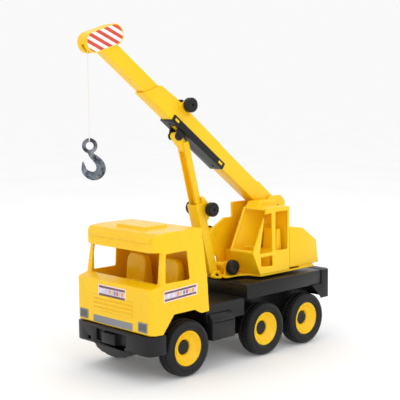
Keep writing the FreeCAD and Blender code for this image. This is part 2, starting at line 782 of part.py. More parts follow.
def boom_cheek():
    """The plate on the other side of the boom foot, carrying the pivot."""
    body = new_body()
    inner = d.turret_gap
    floor = d.turret_floor + FLOOR
    side = [(128, floor), (150, floor), (168, 176), (168, 214), (158, 224), (134, 224), (128, 219)]
    pad(body, "YZ", inner, 4, side)
    bore(body, d.boom_pivot_along, d.boom_pivot_height, BOOM_PIN, -40, 80)
    return keep(body, "boom_cheek")


def operator_seat():
    body = new_body()
    profile = [(92, 118.5), (120, 118.5), (120, 150), (118, 178), (111, 178), (109, 148), (92, 145)]
    pad(body, "YZ", 24, 28, profile)
    return keep(body, "operator_seat")


def control_levers():
    levers = []
    for x in (26, 34, 42):
        stem = rod_z(x, 70, 118.5, 1.5, 34.5)
        ball = doc.addObject("Part::Sphere", "Sphere")
        ball.Radius = 2.6
        place(ball, x, 70, 153)
        levers.append(fuse(stem, ball))
    return keep(group(*levers), "control_levers")


def counterweight():
    """The rear block, sloped down to the back and hollow underneath."""
    body = new_body()
    outer = d.turret_half
    side = [(128, COUNTERWEIGHT_LOW), (196, COUNTERWEIGHT_LOW), (192.5, 138), (191, 154), (159, 176),
            (128, 181)]
    pad(body, "YZ", -outer, 2 * outer, side)
    gap = d.turret_gap + 4.3
    pocket(body, "XY", 100, 100, rectangle(-gap, gap, 120, 172))
    hollow = [(131, 115), (190, 115), (188, 137), (187, 151), (157, 172.5), (131, 177)]
    for start in (-outer + 3, gap + 3):
        pocket(body, "YZ", start, outer - gap - 6, hollow)
    return keep(body, "counterweight")


def cross_pin(label, along, height, radius, reach, head_radius, head_length):
    """A pin along X with a round head on each end."""
    shank = rod_x(-reach, along, height, radius, 2 * reach)
    left = rod_x(-reach - head_length, along, height, head_radius, head_length)
    right = rod_x(reach, along, height, head_radius, head_length)
    return keep(fuse(shank, left, right), label)


KNOB_SOCKET = 3


def knob(along, height, inner_face, side, radius, length):
    """A round drive knob with a rounded rim and a small centre hole."""
    body = new_body()
    face = inner_face + length
    profile = [(inner_face, d.shaft_radius), (inner_face, radius - 1), (inner_face + 1, radius),
               (face - 2.2, radius), (face - 0.7, radius - 0.7), (face, radius - 2.4), (face, 1.8),
               (face - KNOB_SOCKET, 1.8), (face - KNOB_SOCKET, d.shaft_radius)]
    turn(body, profile if side > 0 else mirrored(profile))
    place(body, 0, along, height)
    return body


def spool(along, height, drum_radius, drum_half, shaft_left, shaft_right):
    """A winding drum with flanges on its own shaft."""
    body = new_body()
    flange = drum_radius + 3
    profile = [(shaft_left, 0), (shaft_left, d.shaft_radius), (-drum_half, d.shaft_radius),
               (-drum_half, flange), (-drum_half + 1.6, flange), (-drum_half + 1.6, drum_radius),
               (drum_half - 1.6, drum_radius),
               (drum_half - 1.6, flange), (drum_half, flange), (drum_half, d.shaft_radius),
               (shaft_right, d.shaft_radius), (shaft_right, 0)]
    turn(body, profile)
    return place(body, 0, along, height)


def pinion(along, height, root, tip, half, reach, teeth, label):
    """A toothed wheel on its shaft."""
    body = new_body()
    outline = []
    for i in range(teeth):
        start = 2 * math.pi * i / teeth
        step = 2 * math.pi / teeth
        for share, radius in ((0.0, root), (0.25, root), (0.38, tip), (0.62, tip), (0.75, root)):
            angle = start + share * step
            outline.append((radius * math.cos(angle), radius * math.sin(angle)))
    pad(body, "YZ", -half, 2 * half, outline)
    turn(body, [(-reach, 0), (-reach, d.shaft_radius), (reach, d.shaft_radius), (reach, 0)])
    place(body, 0, along, height)
    return keep(body, label)


# ---- boom, in its own axes: -Y along the boom, +Z away from its back ----

PINION_ALONG = -243.3
PINION_UP = 17.9
HEAD_HIGH = (-398.4, 18.0)
HEAD_LOW = (-418.3, -10.9)
PULLEY_GROOVE = 4.6
PIN_ALONG = -225.5
PIN_UP = -23.4
PIN_HALF = 1.8
STRUT_PINION = (11.2, 100)
OPEN_PIVOT_PLAY = 1.85


def outer_boom():
    body = new_body()
    rise = d.boom_rise
    side = [(-314.7, -rise + 0.2), (-295.4, 13), (-262, 15.7), (-236, 14.6), (-154, 14), (-152, 12.6),
            (-55, 12.6), (-52, 14.8), (3, rise), (10, 10), (14, 3.5), (14, -3.5), (10, -10), (3, -rise + 0.2)]
    pad(body, "YZ", -d.boom_half, 2 * d.boom_half, side)
    bore(body, 0, 0, BOOM_PIN + d.running_fit)
    cavity = rectangle(-d.inner_half - d.slide_fit, d.inner_half + d.slide_fit,
                       d.inner_bottom - d.slide_fit, d.inner_top + d.slide_fit)
    pocket(body, "XZ", -330, 268, cavity)
    bore(body, PINION_ALONG, PINION_UP, d.shaft_radius + 2.6)
    pocket(body, "XY", 5, 20, rectangle(-5.5, 5.5, PINION_ALONG - 11, PINION_ALONG + 11))
    return body


def outer_boom_bearings(body):
    """Side cheeks that carry the extension shaft above the boom."""
    cheek = [(PINION_ALONG - 13, 8), (PINION_ALONG + 13, 8), (PINION_ALONG + 5.5, 22), (PINION_ALONG, 24),
             (PINION_ALONG - 5.5, 22)]
    for x in (-14.6, 11):
        pad(body, "YZ", x, 3.6, cheek)
    bore(body, PINION_ALONG, PINION_UP, d.shaft_radius + d.running_fit)


def inner_boom():
    body = new_body()
    low, high = d.inner_bottom, d.inner_top
    side = rectangle(-404, -158, low, high)
    pad(body, "YZ", -d.inner_half, 2 * d.inner_half, side)
    pocket(body, "YZ", -d.inner_half + 2, 2 * d.inner_half - 4, rectangle(-392, -150, low + 2, high - 4))
    pocket(body, "XY", high - 2.4, 4, rectangle(-4.5, 4.5, -333, -157))
    pitch = 5.15
    for i in range(23):
        start = -333 + i * pitch
        tooth = [(start, high - 3), (start + 2.6, high - 3), (start + 1.9, high - 0.6),
                 (start + 0.7, high - 0.6)]
        pad(body, "YZ", -4.6, 9.2, tooth)
    head_plate(body, -d.head_half, 2 * d.head_half)
    slot = [(-427, -30), (-400, -30), (-403, -5), (-411, -2.5), (-424, -2.5), (-427, -6)]
    pocket(body, "YZ", -3.4, 6.8, slot)
    bore(body, HEAD_LOW[0], HEAD_LOW[1], 1.6, -7, 14)
    return body


def head_plate(body, start, width):
    """A block with two round ends: the boom head."""
    drawing = empty_sketch(body, "YZ", start)
    radius = d.head_radius.value
    way = math.atan2(HEAD_HIGH[1] - HEAD_LOW[1], HEAD_HIGH[0] - HEAD_LOW[0])
    ends = []
    for centre, angle in ((HEAD_LOW, way + math.pi / 2), (HEAD_HIGH, way - math.pi / 2)):
        points = []
        for turned in (angle, angle + math.pi / 2, angle + math.pi):
            points.append(FreeCAD.Vector(centre[0] + radius * math.cos(turned),
                                         centre[1] + radius * math.sin(turned), 0))
        ends.append(points)
    low, high = ends
    drawing.addGeometry(Part.Arc(low[0], low[1], low[2]))
    drawing.addGeometry(Part.LineSegment(low[2], high[0]))
    drawing.addGeometry(Part.Arc(high[0], high[1], high[2]))
    drawing.addGeometry(Part.LineSegment(high[2], low[0]))
    feature = body.newObject("PartDesign::Pad", "Pad")
    feature.Profile = drawing
    bind(feature, "Length", width)
    return feature


def boom_saddle():
    """The black bracket under the boom with the ears that take the strut."""
    body = new_body()
    front, rear = -253, -130
    low = -d.boom_rise - 1.6
    half = d.boom_half + 2
    pad(body, "YZ", -half, 2 * half, rectangle(front, rear, low, -5.6))
    pocket(body, "XZ", front - 1, rear - front + 2,
           rectangle(-d.boom_half - 0.02, d.boom_half + 0.02, -d.boom_rise + 0.2, 0))
    for start in (front + 4, rear - 13.5):
        pocket(body, "YZ", -half - 1, 2 * half + 2, rectangle(start, start + 9.5, -12, -7.6))
    for along in (front + 9, rear - 9):
        bore_z(body, 0, along, 2.2, -30, 20)
    for x in (-9, 6):
        round_pad(body, x, 3, PIN_ALONG, PIN_UP, 6)
        root = [(PIN_ALONG - 5.7, PIN_UP), (PIN_ALONG + 5.7, PIN_UP), (PIN_ALONG + 10, low + 1),
                (PIN_ALONG - 10, low + 1)]
        pad(body, "YZ", x, 3, root)
    pocket(body, "XY", low - 1, 5, rectangle(-5.6, 5.6, PIN_ALONG - 13, PIN_ALONG + 13))
    bore(body, PIN_ALONG, PIN_UP, PIN_HALF, -20, 40)
    return body


def boom_tabs():
    """Catches moulded on the boom that hold the saddle in its windows."""
    tabs = []
    for start in (-253 + 4.2, -130 - 13.3):
        for x in (-d.boom_half - 1.6, d.boom_half):
            tabs.append(box(x, start, -11.8, 1.6, 9.1, 4))
    return tabs


def strut_sleeve():
    """The lower half of the strut: a sleeve with bearing ears for the luffing shaft."""
    body = new_body()
    half = d.sleeve_half
    side = [(-7.6, 8), (-7.6, 112), (7.6, 112), (7.6, 8), (5, 0), (2, -4.6), (-2, -4.6), (-5, 0)]
    pad(body, "YZ", -half, 2 * half, side)
    ears = [(4, 84), (4, 121), (8, 121), (STRUT_PINION[0] + 3.5, 108), (STRUT_PINION[0] + 5.6, 100),
            (STRUT_PINION[0] + 3.5, 92), (8, 84)]
    for x in (-half - 2, half - 2.5):
        pad(body, "YZ", x, 4.5, ears)
    channel = rectangle(-d.rod_half - d.slide_fit, d.rod_half + d.slide_fit,
                        -d.rod_depth / 2 - d.slide_fit, d.rod_depth / 2 + d.slide_fit)
    pocket(body, "XY", 14, 110, channel)
    pocket(body, "XZ", 3, 12, rectangle(-5.2, 5.2, 89, 111))
    bore(body, 0, 0, FOOT_PIN + d.running_fit)
    bore(body, STRUT_PINION[0], STRUT_PINION[1], d.shaft_radius + d.running_fit)
    return keep(place_on_strut(body), "strut_sleeve")


def strut_rod():
    """The toothed rod: a channel section with a rack on its back."""
    body = new_body()
    half = d.rod_half
    depth = d.rod_depth / 2
    low, high = 92, 205
    pad(body, "XY", low, high - low, rectangle(-half, half, -depth, depth))
    pocket(body, "XY", low - 1, high - low - 8, rectangle(-half + 2, half - 2, -depth - 1, depth - 5))
    eye_across, eye_up = strut_local(*boom_point(PIN_ALONG, PIN_UP))
    neck = [(eye_across - 5.2, eye_up - 3), (-depth, high - 13), (depth, high - 13), (depth, high - 6),
            (eye_across + 5, eye_up + 5)]
    pad(body, "YZ", -4.6, 9.2, neck)
    round_pad(body, -4.6, 9.2, eye_across, eye_up, 5.7)
    pitch = 4.2
    for i in range(27):
        start = low + 1 + i * pitch
        tooth = [(half - 2.2, start), (half - 2.2, start + 2.4), (half - 3.2, start + 1.9),
                 (half - 3.2, start + 0.5)]
        pad(body, "XZ", -depth, 4, tooth)
        gap = [(depth - 1.6, start + 0.4), (depth + 0.2, start - 0.1), (depth + 0.2, start + 2.6),
               (depth - 1.6, start + 2.1)]
        pocket(body, "YZ", -4.6, 9.2, gap)
    bore(body, eye_across, eye_up, PIN_HALF + OPEN_PIVOT_PLAY, -20, 40)
    return keep(place_on_strut(body), "strut_rod")


def head_labels():
    """Striped labels on both sides of the head."""
    pieces = []
    for start in (d.head_half, -d.head_half - LABEL_THICK):
        body = new_body()
        head_plate(body, start, LABEL_THICK)
        pieces.append(body)
    return keep(place_on_boom(group(*pieces)), "head_labels")


def head_pulley():
    """The grooved wheel that the string runs over."""
    y, z = boom_point(HEAD_LOW[0], HEAD_LOW[1])
    body = new_body()
    profile = [(-6.8, 0), (-6.8, 1.55), (-2.6, 1.55), (-2.6, 6.4), (-1.4, 6.4), (-0.5, PULLEY_GROOVE),
               (0.5, PULLEY_GROOVE), (1.4, 6.4), (2.6, 6.4), (2.6, 1.55), (6.8, 1.55), (6.8, 0)]
    turn(body, profile)
    place(body, 0, y, z)
    return keep(body, "head_pulley")


EYE_RADIUS = 7.6
EYE_WIRE = 2.5


def string_top():
    y, z = boom_point(HEAD_LOW[0], HEAD_LOW[1])
    return y - PULLEY_GROOVE - d.string_radius - 0.05, z


def hoist_string():
    """The string from the pulley straight down to the hook's eye."""
    y, z = string_top()
    line = rod_z(0, y, z - d.string_drop, d.string_radius, d.string_drop)
    return keep(line, "hoist_string")


def hook():
    """A round eye with a thick hook below it, made flat and then turned about the string."""
    y, z = string_top()
    eye = doc.addObject("Part::Torus", "Torus")
    eye.Radius1 = EYE_RADIUS
    eye.Radius2 = EYE_WIRE
    eye.Placement = FreeCAD.Placement(FreeCAD.Vector(0, 0, 0), FreeCAD.Rotation(FreeCAD.Vector(1, 0, 0), 90))
    body = new_body()
    outline = [(1, -9), (6, -9.5), (14, -16), (19.5, -24), (20.8, -31), (18, -39), (11.5, -44), (4.5, -45.5),
               (-4, -42.5), (-10, -38), (-12, -33.5), (-10.2, -28), (-10.5, -21), (-8.6, -19.8), (-6.2, -23),
               (-4.8, -30), (-1.5, -33.3), (3, -34), (6.8, -32), (7.8, -29), (5.5, -23), (-1.5, -12)]
    pad(body, "XZ", -3.6, 7.2, outline)
    whole = fuse(eye, body)
    place(whole, 0, y, z - d.string_drop - EYE_RADIUS + EYE_WIRE - 0.05, (0, 0, 1), d.hook_turn)
    return keep(whole, "hook")


def build_boom():
    body = outer_boom()
    outer_boom_bearings(body)
    keep(place_on_boom(fuse(body, *boom_tabs())), "outer_boom")
    keep(place_on_boom(boom_saddle()), "boom_saddle")
    keep(place_on_boom(inner_boom()), "inner_boom")
    head_labels()
    head_pulley()
    y, z = boom_point(PINION_ALONG, PINION_UP)
    pinion(y, z, 5.4, 7.7, 4.2, d.knob_face - KNOB_SOCKET, 10, "extension_pinion")
    inner_face = d.knob_face - d.knob_length
    keep(group(knob(y, z, inner_face, 1, d.knob_radius, d.knob_length),
               knob(y, z, inner_face, -1, d.knob_radius, d.knob_length)), "extension_knobs")


def build_strut():
    strut_sleeve()
    strut_rod()
    y, z = strut_point(STRUT_PINION[0], STRUT_PINION[1])
    pinion(y, z, 3.9, 5.9, 4.2, d.knob_face - KNOB_SOCKET, 10, "luffing_pinion")
    inner_face = d.knob_face - d.knob_length
    keep(group(knob(y, z, inner_face, 1, d.knob_radius, d.knob_length),
               knob(y, z, inner_face, -1, d.knob_radius, d.knob_length)), "luffing_knobs")
    y, z = boom_point(PIN_ALONG, PIN_UP)
    keep(rod_x(-9.6, y, z, PIN_HALF, 19.2), "strut_top_pin")


def build_winches():
    along, height = FRONT_WINCH
    keep(spool(along, height, 5, 17, KNOB_SOCKET - 33.5, 35.5 - KNOB_SOCKET), "front_winch_drum")
    keep(group(knob(along, height, 26.5, 1, 11.2, 9), knob(along, height, 24.5, -1, 11.2, 9)),
         "front_winch_knobs")
    along, height = HOIST
    drum = spool(along, height, 5, 4, -11, 8.7)
    place(drum, HOIST_DRUM, along, height)
    keep(drum, "hoist_drum")
    keep(knob(along, height, -HOIST_DRUM + 5, -1, d.knob_radius, 9), "hoist_knob")


def build():
    chassis_frame()
    front_bumper()
    deck()
    tail_panel()
    side_box("side_box_left", 1)
    side_box("side_box_right", -1)
    cab_shell()
    cab_seats()
    dashboard()
    front_labels()
    cab_labels()
    axle_set("front", d.axle_front)
    axle_set("middle", d.axle_middle)
    axle_set("rear", d.axle_rear)
    turntable_bearing()
    turntable_pin()
    turret_base()
    hoist_panel()
    operator_cab()
    boom_cheek()
    operator_seat()
    control_levers()
    counterweight()
    cross_pin("boom_pivot_pin", d.boom_pivot_along, d.boom_pivot_height, BOOM_PIN,
              d.turret_gap + 4, 6, 2)
    keep(rod_x(-15, d.foot_along, d.foot_height, FOOT_PIN, 30), "strut_foot_pin")
    build_boom()
    build_strut()
    build_winches()
    hoist_string()
    hook()


def check_document():
    doc.recompute()
    failed = [obj for obj in doc.Objects if "Invalid" in obj.State or "Error" in obj.State]
    if failed:
        raise ValueError("did not recompute: " + ", ".join(
            f"{obj.Label} of {obj.getParentGeoFeatureGroup().Label}" if obj.getParentGeoFeatureGroup()
            else obj.Label for obj in failed))
    labels = [obj.Label for obj in parts]
    if len(set(labels)) != len(labels):
        raise ValueError("two sub-parts share a label")
    for obj in parts:
        if obj.Shape.isNull() or not obj.Shape.isValid() or not obj.Shape.Solids:
            raise ValueError(f"{obj.Label} has no valid shape")


def export():
    os.makedirs("parts", exist_ok=True)
    for obj in parts:
        obj.Shape.exportStep(f"parts/{obj.Label}.step")


build()
check_document()
export()
boxes = FreeCAD.BoundBox()
for obj in parts:
    boxes.add(obj.Shape.BoundBox)
print(len(parts), "nodes")
print("size", round(boxes.XLength, 1), round(boxes.YLength, 1), round(boxes.ZLength, 1))
print("Y", round(boxes.YMin, 2), round(boxes.YMax, 2), "Z", round(boxes.ZMin, 2), round(boxes.ZMax, 2))
print("the string hangs straight, so its tube has no bend radius")
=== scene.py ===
import json
import math

import bmesh
import bpy
from mathutils import Matrix, Vector


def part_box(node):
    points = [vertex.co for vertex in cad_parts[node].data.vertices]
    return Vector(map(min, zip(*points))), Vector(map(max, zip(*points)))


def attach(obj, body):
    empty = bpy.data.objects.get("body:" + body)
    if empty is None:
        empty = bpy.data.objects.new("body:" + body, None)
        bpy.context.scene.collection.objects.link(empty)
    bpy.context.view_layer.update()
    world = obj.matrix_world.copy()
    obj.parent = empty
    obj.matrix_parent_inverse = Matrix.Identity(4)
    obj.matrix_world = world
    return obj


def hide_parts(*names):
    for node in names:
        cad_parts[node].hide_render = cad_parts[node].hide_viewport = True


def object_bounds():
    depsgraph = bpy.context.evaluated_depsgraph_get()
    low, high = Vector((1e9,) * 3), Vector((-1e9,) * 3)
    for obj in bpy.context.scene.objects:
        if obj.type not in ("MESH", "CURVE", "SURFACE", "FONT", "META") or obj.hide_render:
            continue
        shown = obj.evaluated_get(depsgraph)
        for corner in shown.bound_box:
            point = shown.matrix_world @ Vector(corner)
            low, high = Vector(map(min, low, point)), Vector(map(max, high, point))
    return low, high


# The looks of a toy crane truck, in metres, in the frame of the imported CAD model:
# -Y is the way the truck points, +X is its left side and +Z is up.

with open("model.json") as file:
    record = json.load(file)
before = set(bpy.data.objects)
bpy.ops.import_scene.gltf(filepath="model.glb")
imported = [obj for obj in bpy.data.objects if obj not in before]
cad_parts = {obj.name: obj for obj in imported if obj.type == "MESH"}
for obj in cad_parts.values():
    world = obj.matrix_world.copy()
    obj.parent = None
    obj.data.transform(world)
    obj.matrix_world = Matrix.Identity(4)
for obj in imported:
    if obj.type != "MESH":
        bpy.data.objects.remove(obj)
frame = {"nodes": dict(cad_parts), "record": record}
cad_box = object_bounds()
NODES = frame["nodes"]
JOINTS = {joint["name"]: joint for joint in frame["record"]["behaviour"]["joints"]}
BODIES = frame["record"]["behaviour"]["bodies"]
NODE_BODY = {node: body for body, nodes in BODIES.items() for node in nodes}
NODE_SLOT = {part["node"]: part["material_slot"] for part in frame["record"]["subparts"]}
MM = 0.001
FORWARD = Vector((0, -1, 0))
UP = Vector((0, 0, 1))


def corners(node):
    low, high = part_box(node)
    return Vector(low), Vector(high)


def centre(node):
    low, high = corners(node)
    return (low + high) / 2


# ---- materials ----

class Shader:
    """A short way to write a node tree for one material."""

    def __init__(self, name):
        self.material = bpy.data.materials.new(name)
        self.material.use_nodes = True
        self.tree = self.material.node_tree
        self.surface = self.tree.nodes["Principled BSDF"]
        self.place = self.add("ShaderNodeTexCoord").outputs["Object"]

    def add(self, kind, **settings):
        node = self.tree.nodes.new(kind)
        for key, value in settings.items():
            setattr(node, key, value)
        return node

    def link(self, source, target):
        self.tree.links.new(source, target)

    def feed(self, socket, value):
        if isinstance(value, bpy.types.NodeSocket):
            self.link(value, socket)
        else:
            socket.default_value = value

    def maths(self, operation, first, second=0.0, third=0.0):
        node = self.add("ShaderNodeMath", operation=operation)
        for socket, value in zip(node.inputs, (first, second, third)):
            self.feed(socket, value)
        return node.outputs[0]

    def noise(self, scale, detail=3.0, roughness=0.5):
        node = self.add("ShaderNodeTexNoise")
        self.link(self.place, node.inputs["Vector"])
        node.inputs["Scale"].default_value = scale
        node.inputs["Detail"].default_value = detail
        node.inputs["Roughness"].default_value = roughness
        return node.outputs["Fac"]

    def spread(self, value, low, high, out_low, out_high):
        node = self.add("ShaderNodeMapRange")
        for socket, number in zip(node.inputs, (value, low, high, out_low, out_high)):
            self.feed(socket, number)
        return node.outputs[0]

    def blend(self, share, first, second):
        node = self.add("ShaderNodeMix", data_type="RGBA")
        self.feed(node.inputs["Factor"], share)
        self.feed(node.inputs["A"], first)
        self.feed(node.inputs["B"], second)
        return node.outputs["Result"]

    def bump(self, height, strength, distance):
        node = self.add("ShaderNodeBump")
        node.inputs["Strength"].default_value = strength
        node.inputs["Distance"].default_value = distance
        self.link(height, node.inputs["Height"])
        self.link(node.outputs["Normal"], self.surface.inputs["Normal"])

    def axis(self, name):
        node = self.add("ShaderNodeSeparateXYZ")
        self.link(self.place, node.inputs[0])
        return node.outputs[name]


def rgb(red, green, blue):
    return (red, green, blue, 1.0)


GRAIN_DEPTH = 0.2 * MM


def surface_of(material):
    return material.node_tree.nodes["Principled BSDF"]


def moulded(name, colour, deeper, roughness, grain=0.015):
    """Injection-moulded plastic: faint flow marks, handled patches and a fine grain."""
    shader = Shader(name)
    flow = shader.noise(9.0, 2.0)
    share = shader.spread(flow, 0.3, 0.7, 0.0, 1.0)
    shader.link(shader.blend(share, rgb(*colour), rgb(*deeper)), shader.surface.inputs["Base Color"])
    smudges = shader.noise(34.0, 4.0, 0.6)
    shader.link(shader.spread(smudges, 0.3, 0.75, roughness - 0.05, roughness + 0.09),
                shader.surface.inputs["Roughness"])
    shader.bump(shader.noise(900.0, 2.0), grain, GRAIN_DEPTH)
    return shader.material


def tyre_rubber():
    shader = Shader("tyre_black")
    share = shader.spread(shader.noise(14.0, 3.0), 0.3, 0.7, 0.0, 1.0)
    shader.link(shader.blend(share, rgb(0.006, 0.006, 0.0065), rgb(0.014, 0.014, 0.0145)),
                shader.surface.inputs["Base Color"])
    shader.link(shader.spread(shader.noise(60.0, 4.0), 0.3, 0.7, 0.38, 0.52),
                shader.surface.inputs["Roughness"])
    shader.bump(shader.noise(1400.0, 2.0), 0.06, GRAIN_DEPTH)
    return shader.material


STRIPE_PITCH = 9.4 * MM
STRIPE_TILT = math.radians(14)
STRIPE_OFFSET = 96.4 * MM
HEAD_LABEL_RADIUS = 14 * MM
HEAD_LABEL_RIM = 1.3 * MM


def striped_film():
    """White film with slanting red stripes and a yellow rim, laid along the resting boom."""
    shader = Shader("head_stripes")
    along = Vector(JOINTS["boom_extend"]["axis"]).normalized()
    up = Vector((0, along.z, -along.y))
    across = up * math.cos(STRIPE_TILT) + along * math.sin(STRIPE_TILT)
    pivot = Vector(JOINTS["boom_luff"]["pos_m"])
    distance = shader.maths("MULTIPLY", shader.axis("Y"), across.y)
    distance = shader.maths("MULTIPLY_ADD", shader.axis("Z"), across.z, distance)
    distance = shader.maths("SUBTRACT", distance, pivot.dot(across) + STRIPE_OFFSET)
    phase = shader.maths("DIVIDE", distance, STRIPE_PITCH)
    ragged = shader.maths("MULTIPLY_ADD", shader.noise(420.0, 2.0), 0.05, phase)
    wave = shader.maths("ABSOLUTE", shader.maths("SUBTRACT", shader.maths("FRACT", ragged), 0.5))
    red = shader.maths("GREATER_THAN", wave, 0.25)
    worn = shader.spread(shader.noise(240.0, 4.0), 0.35, 0.7, 0.0, 1.0)
    white = shader.blend(worn, rgb(0.88, 0.86, 0.85), rgb(0.80, 0.77, 0.76))
    ink = shader.blend(worn, rgb(0.72, 0.075, 0.03), rgb(0.62, 0.05, 0.03))
    striped = shader.blend(red, white, ink)

    # The label is a bar with round ends, and the rim is what lies far from its middle line.
    low, high = corners("head_labels")
    start = (low.y + HEAD_LABEL_RADIUS, low.z + HEAD_LABEL_RADIUS)
    way = (high.y - HEAD_LABEL_RADIUS - start[0], high.z - HEAD_LABEL_RADIUS - start[1])
    square = way[0] ** 2 + way[1] ** 2
    from_y = shader.maths("SUBTRACT", shader.axis("Y"), start[0])
    from_z = shader.maths("SUBTRACT", shader.axis("Z"), start[1])
    share = shader.maths("MULTIPLY", from_y, way[0] / square)
    share = shader.maths("MULTIPLY_ADD", from_z, way[1] / square, share)
    share = shader.maths("MINIMUM", shader.maths("MAXIMUM", share, 0.0), 1.0)
    off_y = shader.maths("MULTIPLY_ADD", share, -way[0], from_y)
    off_z = shader.maths("MULTIPLY_ADD", share, -way[1], from_z)
    reach = shader.maths("MULTIPLY_ADD", off_y, off_y, shader.maths("MULTIPLY", off_z, off_z))
    reach = shader.maths("SQRT", reach)
    rim = shader.maths("GREATER_THAN", reach, HEAD_LABEL_RADIUS - HEAD_LABEL_RIM)
    shader.link(shader.blend(rim, striped, rgb(1.0, 0.63, 0.014)), shader.surface.inputs["Base Color"])
    shader.surface.inputs["Roughness"].default_value = 0.35
    return shader.material


FRONT_LABEL_DEPTH = 4 * MM
FRONT_LABEL_START = -31 * MM
FRONT_LABEL_LENGTH = 59 * MM
FRONT_LABEL_HEIGHTS = (106 * MM, 123 * MM)
SIDE_LABEL_START = 61 * MM
SIDE_LABEL_LENGTH = 60 * MM
SIDE_LABEL_HEIGHTS = (109 * MM, 124 * MM)
SIDE_LABEL_SLOPE = 0.05
LABEL_BLOCKS = 11.0
BLOCK_COLOURS = ((0.0, (0.10, 0.24, 0.55)), (0.3, (0.75, 0.28, 0.08)), (0.55, (0.62, 0.10, 0.08)),
                 (0.75, (0.85, 0.48, 0.12)))


def cab_film():
    """A made-up pattern: a pale outline, dark bars above and below, and plain coloured blocks."""
    shader = Shader("cab_label_film")
    low, high = corners("cab_labels")
    x, y, z = shader.axis("X"), shader.axis("Y"), shader.axis("Z")
    front = shader.maths("LESS_THAN", y, low.y + FRONT_LABEL_DEPTH)
    side_start = high.y - SIDE_LABEL_START
    along_side = shader.spread(y, side_start, side_start + SIDE_LABEL_LENGTH, 0.0, 1.0)
    along_front = shader.spread(x, FRONT_LABEL_START, FRONT_LABEL_START + FRONT_LABEL_LENGTH, 0.0, 1.0)
    base = shader.maths("MULTIPLY_ADD", shader.maths("SUBTRACT", y, side_start), -SIDE_LABEL_SLOPE, z)
    up_side = shader.spread(base, *SIDE_LABEL_HEIGHTS, 0.0, 1.0)
    up_front = shader.spread(z, *FRONT_LABEL_HEIGHTS, 0.0, 1.0)
    flip = shader.maths("SUBTRACT", 1.0, front)
    along = shader.maths("MULTIPLY_ADD", along_front, front, shader.maths("MULTIPLY", along_side, flip))
    up = shader.maths("MULTIPLY_ADD", up_front, front, shader.maths("MULTIPLY", up_side, flip))
    from_middle = shader.maths("ABSOLUTE", shader.maths("SUBTRACT", up, 0.5))
    from_centre = shader.maths("ABSOLUTE", shader.maths("SUBTRACT", along, 0.5))
    blotch = shader.spread(shader.noise(160.0, 3.0), 0.35, 0.65, 0.0, 1.0)
    paper = shader.blend(blotch, rgb(0.80, 0.74, 0.82), rgb(0.58, 0.52, 0.66))
    steps = shader.maths("FLOOR", shader.maths("MULTIPLY", along, LABEL_BLOCKS))
    tint = shader.add("ShaderNodeValToRGB")
    tint.color_ramp.interpolation = "CONSTANT"
    while len(tint.color_ramp.elements) < len(BLOCK_COLOURS):
        tint.color_ramp.elements.new(0.5)
    for stop, (position, colour) in zip(tint.color_ramp.elements, BLOCK_COLOURS):
        stop.position = position
        stop.color = rgb(*colour)
    shader.link(shader.maths("FRACT", shader.maths("MULTIPLY", steps, 0.37)), tint.inputs["Fac"])
    within = shader.maths("FRACT", shader.maths("MULTIPLY", along, LABEL_BLOCKS))
    filled = shader.maths("GREATER_THAN", within, 0.3)
    blocks = shader.maths("MULTIPLY", filled, shader.maths("COMPARE", along, 0.66, 0.26))
    blocks = shader.maths("MULTIPLY", blocks, shader.maths("LESS_THAN", from_middle, 0.16))
    inner = shader.blend(blocks, paper, tint.outputs["Color"])
    bars = shader.maths("GREATER_THAN", from_middle, 0.23)
    dark = shader.blend(blotch, rgb(0.07, 0.03, 0.04), rgb(0.24, 0.10, 0.12))
    barred = shader.blend(bars, inner, dark)
    edge = shader.maths("MAXIMUM", shader.maths("GREATER_THAN", from_middle, 0.41),
                        shader.maths("GREATER_THAN", from_centre, 0.475))
    shader.link(shader.blend(edge, barred, rgb(0.92, 0.74, 0.66)), shader.surface.inputs["Base Color"])
    shader.surface.inputs["Roughness"].default_value = 0.4
    return shader.material


def twisted_string():
    shader = Shader("string_fibre")
    ply = shader.add("ShaderNodeTexWave", bands_direction="DIAGONAL")
    shader.link(shader.place, ply.inputs["Vector"])
    ply.inputs["Scale"].default_value = 420.0
    shader.link(shader.blend(ply.outputs["Fac"], rgb(0.78, 0.72, 0.6), rgb(0.9, 0.87, 0.8)),
                shader.surface.inputs["Base Color"])
    shader.surface.inputs["Roughness"].default_value = 0.85
    shader.bump(ply.outputs["Fac"], 0.4, GRAIN_DEPTH)
    return shader.material


def metallic_grey():
    shader = Shader("hook_grey")
    share = shader.spread(shader.noise(110.0, 4.0, 0.6), 0.4, 0.68, 0.0, 1.0)
    shader.link(shader.blend(share, rgb(0.03, 0.036, 0.046), rgb(0.27, 0.30, 0.34)),
                shader.surface.inputs["Base Color"])
    shader.surface.inputs["Metallic"].default_value = 0.75
    shader.link(shader.spread(shader.noise(90.0, 3.0), 0.3, 0.7, 0.26, 0.4),
                shader.surface.inputs["Roughness"])
    shader.bump(shader.noise(700.0, 2.0), 0.05, GRAIN_DEPTH)
    return shader.material


